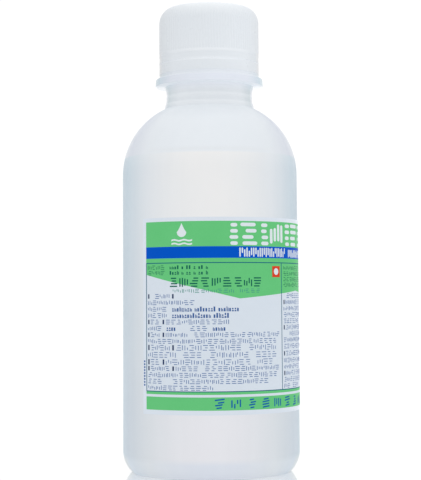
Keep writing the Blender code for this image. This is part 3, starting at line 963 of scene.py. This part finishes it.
def build_label(mats):
    film = Sheet(FILM_LIFT, FILM_THICKNESS)
    film.strip(FILM_START, FILM_END, FILM_LOW_Z, FILM_HIGH_Z)
    film.build("label_film", mats["film"])

    white = ink_layer(0)
    white.strip(INK_START, INK_END, FOOT_BAND_LOW_Z, TITLE_BAND_TOP_Z)
    white.build("label_white_ground", mats["ground"])

    green = ink_layer(1)
    green.strip(INK_START, INK_END, BLUE_TOP_Z, TITLE_BAND_TOP_Z)
    valleys = (VALLEY_S, middle_s(), 2 * middle_s() - VALLEY_S)
    green.strip(INK_START, INK_END, field_edge, BLUE_LOW_Z, valleys)
    green.strip(INK_START, INK_END, STRIPE_LOW_Z, PANEL_RULE_Z)
    green.strip(INK_START, INK_END, FOOT_BAND_LOW_Z, FOOT_BAND_TOP_Z)
    green.build("label_green_fields", mats["green"])

    blue = ink_layer(1)
    blue.strip(INK_START, INK_END, BLUE_LOW_Z, BLUE_TOP_Z)
    blue.build("label_blue_band", mats["blue"])

    rules = ink_layer(2)
    rules.strip(INK_START, INK_END, RULE_Z, RULE_Z + RULE_WIDTH)
    rules.strip(INK_START, INK_END, PANEL_RULE_Z, PANEL_RULE_Z + RULE_WIDTH)
    for s in (INK_START, *PANEL_LINES_S, INK_END - RULE_WIDTH):
        rules.strip(s, s + RULE_WIDTH, PANEL_RULE_Z, RULE_Z)
    rules.build("label_rules", mats["rule"])

    build_title(mats)
    build_panels(mats)
    build_marks(mats)


def build_title(mats):
    """White blocks in place of the title and of the line on the blue band."""
    rng = random.Random(11)
    title = ink_layer(2)
    low = BLUE_TOP_Z + 0.3 * MM
    for i in range(6):
        s = 4.6 * MM + 8.3 * MM * i
        lying = i % 2 == 0
        weave(title, s, 2.2 * MM, low, 5.2 * MM, 4, 0.86 * MM, rng, True, True, 0.0, 0.7)
        weave(title, s + 2.7 * MM, 4.6 * MM, low, 5.3 * MM, 4, 0.86 * MM, rng, lying, True, 0.0, 0.6)
    s = 7.0 * MM
    low = BLUE_LOW_Z + 0.25 * MM
    for letters, tall in ((24, 2.2 * MM), (24, 1.9 * MM), (21, 1.9 * MM)):
        for i in range(letters):
            height = tall * (1.0 if i % 3 == 0 else rng.uniform(0.55, 1.0))
            start = low + (tall - height) * (i % 2)
            title.capsule(s, s + 0.36 * MM, start, start + height)
            s += 0.6 * MM
        s += 1.3 * MM
    title.build("label_title_blocks", mats["white"])

    foot = ink_layer(2)
    for i in range(14):
        s = 0.8 * MM + 3.93 * MM * i
        lying = i % 3 != 1
        weave(foot, s, 2.4 * MM, 16.75 * MM, 2.2 * MM, 4, 0.34 * MM, rng, lying, True, 0.12)
    foot.build("label_foot_blocks", mats["deep_blue"])


ROW_COUNT = 15
TOP_ROW_Z = 43.3 * MM
ROW_PITCH = 1.52 * MM
LARGE_ROWS = (8, 9, 10)          # set in larger print, and further apart
LARGE_ROW_PITCH = 1.7 * MM
ROW_HEIGHT = 1.05 * MM
LARGE_ROW_HEIGHT = 1.25 * MM
PANEL_WIDTH = 24.6 * MM


def panel_rows():
    """Heights of the lines of small print, from the top one down."""
    rows = [TOP_ROW_Z]
    for i in range(1, ROW_COUNT):
        wide = i in LARGE_ROWS and i - 1 in LARGE_ROWS
        rows.append(rows[-1] - (LARGE_ROW_PITCH if wide else ROW_PITCH))
    return rows


def build_panels(mats):
    """Greeked small print: pale lines, bold words and dark heading marks."""
    rng = random.Random(23)
    fine = ink_layer(2)
    bold = ink_layer(2)
    mark = ink_layer(2)
    teal = ink_layer(2)
    pale = ink_layer(2)
    left = -16.4 * MM
    # dates: a fine key and a bold value on each of two lines
    for z in (50.15 * MM, 48.85 * MM):
        small_print(teal, left, -11.2 * MM, z, 0.95 * MM, rng, 1.3 * MM, 0.13 * MM)
        bold_words(teal, -10.0 * MM, (4, 1, 2, 1, 2, 1), z, 0.9 * MM, rng)
    # heading across the field, with a paler line under it
    for i in range(9):
        cell = -10.1 * MM + 2.6 * MM * i
        weave(teal, cell, 2.15 * MM, 45.5 * MM, 2.2 * MM, 4, 0.3 * MM, rng, i % 3 != 1)
    small_print(pale, -9.2 * MM, 12.4 * MM, 44.55 * MM, 0.9 * MM, rng, 1.36 * MM)
    # left panel
    for i, z in enumerate(panel_rows()):
        height = LARGE_ROW_HEIGHT if i in LARGE_ROWS else ROW_HEIGHT
        start = left
        if i in (0, 4, 6, 8, 10, 11):
            end = start + (7.4 * MM if i in (0, 8, 11) else 4.8 * MM)
            heading_bar(mark, start, z, height)
            small_print(fine, start + 0.8 * MM, end - 0.7 * MM, z, height, rng)
            heading_bar(mark, end - 0.4 * MM, z, height)
            start = end + 0.5 * MM
        finish = {0: start, 1: -2.6 * MM, 4: 4.5 * MM, 14: 0.6 * MM, 10: 16.6 * MM}.get(i, 18.6 * MM)
        if i in (2, 3):
            small_print(fine, start, -10.0 * MM, z, height, rng)
            bold_words(bold, -9.4 * MM, (8, 8, 8) if i == 2 else (15, 6), z, 1.15 * MM, rng)
            continue
        if i == 5:
            small_print(fine, start, -11.5 * MM, z, height, rng)
            bold_words(bold, -10.9 * MM, (4,), z, 1.15 * MM, rng)
            small_print(fine, -4.9 * MM, -0.6 * MM, z, height, rng)
            bold_words(bold, 0.5 * MM, (5,), z, 1.15 * MM, rng)
            continue
        pitch = 1.62 * MM if i in LARGE_ROWS else 1.42 * MM
        small_print(fine, start, finish, z, height, rng, pitch)
    # the two panels round the side
    for s in PANEL_LINES_S:
        for k in range(4):
            small_print(teal, s + 0.9 * MM, s + PANEL_WIDTH, (50.0 - 1.35 * k) * MM, 0.95 * MM, rng)
        for i, z in enumerate(panel_rows()):
            start = s + 0.9 * MM
            if i in (1, 5, 9, 12):
                heading_bar(mark, start, z, ROW_HEIGHT)
                start += 0.8 * MM
            finish = s + (PANEL_WIDTH if i not in (4, 8, 11, 14) else rng.uniform(9, 18) * MM)
            small_print(fine, start, finish, z, ROW_HEIGHT, rng)
    # one upright line of tiny print on the film's margin
    for i in range(9):
        z = (22.0 + 0.7 * i) * MM
        fine.strip(FILM_START + 0.3 * MM, FILM_START + 0.75 * MM, z, z + 0.42 * MM)
    fine.build("label_fine_lines", mats["fine"])
    bold.build("label_bold_lines", mats["bold"])
    mark.build("label_heading_marks", mats["dark"])
    teal.build("label_field_lines", mats["teal"])
    pale.build("label_pale_line", mats["pale"])


def build_marks(mats):
    """A plain white drop over two white waves, and a plain red tile with a white dot."""
    centre_s, centre_z = -6.9 * MM, 58.5 * MM
    half = 1.2 * MM
    drop = ink_layer(2)

    def drop_low(s):
        x = min(1.0, abs(s - centre_s) / half)
        return centre_z - half * sqrt(1.0 - x * x)

    def drop_high(s):
        x = min(1.0, abs(s - centre_s) / half)
        return centre_z + (1.0 - x) ** 1.35 * 2.1 * MM

    drop.strip(centre_s - half, centre_s + half, drop_low, drop_high, (centre_s,), 0.12 * MM)
    drop.build("label_drop_mark", mats["white"])

    waves = ink_layer(2)
    reach = 2.6 * MM
    stroke = 0.38 * MM

    def ripple(level):
        return lambda s: level + 0.12 * MM * sin((s - centre_s) / (0.4 * MM))

    for z in (55.5 * MM, 56.35 * MM):
        waves.strip(centre_s - reach, centre_s + reach, ripple(z), ripple(z + stroke), (), 0.15 * MM)
    waves.build("label_wave_mark", mats["white"])

    tile = ink_layer(2)
    tile.strip(16.25 * MM, 18.95 * MM, 47.75 * MM, 50.4 * MM)
    tile.build("label_red_tile", mats["red"])
    dot = ink_layer(3)
    dot_s, dot_z, dot_r = 17.6 * MM, 49.1 * MM, 0.8 * MM
    dot.strip(dot_s - dot_r, dot_s + dot_r,
              lambda s: dot_z - sqrt(max(0.0, dot_r ** 2 - (s - dot_s) ** 2)),
              lambda s: dot_z + sqrt(max(0.0, dot_r ** 2 - (s - dot_s) ** 2)), (), 0.1 * MM)
    dot.build("label_tile_dot", mats["white"])


def label_materials():
    return {
        "film": label_film(),
        "ground": ink("white_ground_ink", srgb(225, 234, 244), srgb(220, 230, 241)),
        "green": ink("green_ink", srgb(110, 206, 133), srgb(101, 201, 125)),
        "blue": ink("blue_ink", srgb(0, 85, 200), srgb(0, 90, 206)),
        "white": ink("white_ink", srgb(232, 240, 244), srgb(222, 234, 240)),
        "rule": ink("rule_ink", srgb(14, 92, 128), srgb(24, 104, 130)),
        "deep_blue": ink("deep_blue_ink", srgb(20, 98, 168), srgb(34, 108, 170)),
        "teal": ink("teal_ink", srgb(16, 96, 84), srgb(28, 112, 90)),
        "pale": ink("pale_teal_ink", srgb(70, 150, 140), srgb(84, 160, 148)),
        "fine": ink("fine_blue_ink", srgb(44, 92, 160), srgb(66, 110, 172)),
        "bold": ink("bold_blue_ink", srgb(52, 92, 156), srgb(66, 104, 162)),
        "dark": ink("navy_ink", srgb(40, 58, 98), srgb(52, 70, 108)),
        "red": ink("red_ink", srgb(226, 62, 34), srgb(214, 72, 44)),
    }


# ---- stage -----------------------------------------------
def build_floor():
    size = 3.0
    mesh = bpy.data.meshes.new("pale_floor")
    corners = [(-size, -size, 0.0), (size, -size, 0.0), (size, size, 0.0), (-size, size, 0.0)]
    mesh.from_pydata(corners, [], [(0, 1, 2, 3)])
    mesh.materials.append(floor_gloss())
    floor = bpy.data.objects.new("pale_floor", mesh)
    bpy.context.scene.collection.objects.link(floor)


def build_world():
    """A white studio: brightest behind the bottle, softer at the sides."""
    world = bpy.data.worlds.new("white_studio")
    bpy.context.scene.world = world
    world.use_nodes = True
    tree = world.node_tree
    background = tree.nodes["Background"]
    direction = add(tree, "TexCoord").outputs["Generated"]
    axes = add(tree, "SeparateXYZ", {0: direction}).outputs
    from_right = math(tree, "MULTIPLY", axes["X"], 0.02)
    from_back = math(tree, "MULTIPLY", axes["Y"], 0.06)
    light = math(tree, "ADD", math(tree, "ADD", from_right, from_back), 0.97)
    camera_ray = add(tree, "LightPath").outputs["Is Camera Ray"]
    strength = add(tree, "Mix", {0: camera_ray, 2: light, 3: 1.05}, data_type="FLOAT").outputs[0]
    tree.links.new(strength, background.inputs["Strength"])
    background.inputs["Color"].default_value = (1.0, 1.0, 1.0, 1.0)


def build_light(name, place, target, size, power):
    data = bpy.data.lights.new(name, "AREA")
    data.shape = "RECTANGLE"
    data.size, data.size_y = size
    data.energy = power
    light = bpy.data.objects.new(name, data)
    light.location = place
    light.rotation_euler = (Vector(target) - Vector(place)).to_track_quat("-Z", "Y").to_euler()
    bpy.context.scene.collection.objects.link(light)


def build_camera():
    data = bpy.data.cameras.new("photo_camera")
    data.lens = CAMERA_LENS
    data.sensor_width = 36.0
    data.clip_start = 0.01
    camera = bpy.data.objects.new("photo_camera", data)
    place = Matrix.Translation((CAMERA_OFFSET, -CAMERA_DISTANCE, CAMERA_HEIGHT))
    tilt = Matrix.Rotation(pi / 2 + CAMERA_PITCH, 4, "X")
    roll = Matrix.Rotation(-CAMERA_ROLL, 4, "Z")
    camera.matrix_world = place @ tilt @ roll
    bpy.context.scene.collection.objects.link(camera)
    bpy.context.scene.camera = camera


def build_stage():
    build_floor()
    build_world()
    build_light("soft_key", place=(0.5, -0.7, 0.6), target=(0.0, 0.0, 0.06), size=(0.5, 0.7),
                power=0.3)
    build_camera()
    settings = bpy.context.scene.view_settings
    settings.view_transform = "Standard"


build_bottle(bottle_plastic())
build_solution(liquid())
build_plug(moulded_white("plug_polyethylene", CAP_TONES, 0.36))
# Painted highlights along the knurl's lower bead and along the slit.
edge_highlights = ((KNURL_LOW_Z - 0.3 * MM, 0.5 * MM, 0.24, 0.5), (SLIT_Z, 0.5 * MM, 0.24, 0.4))
build_cap(moulded_white("cap_polypropylene", CAP_TONES, 0.32, edge_highlights))
build_band(moulded_white("band_polypropylene", CAP_TONES, 0.32, edge_highlights))
build_liner(foam())
build_label(label_materials())
build_stage()
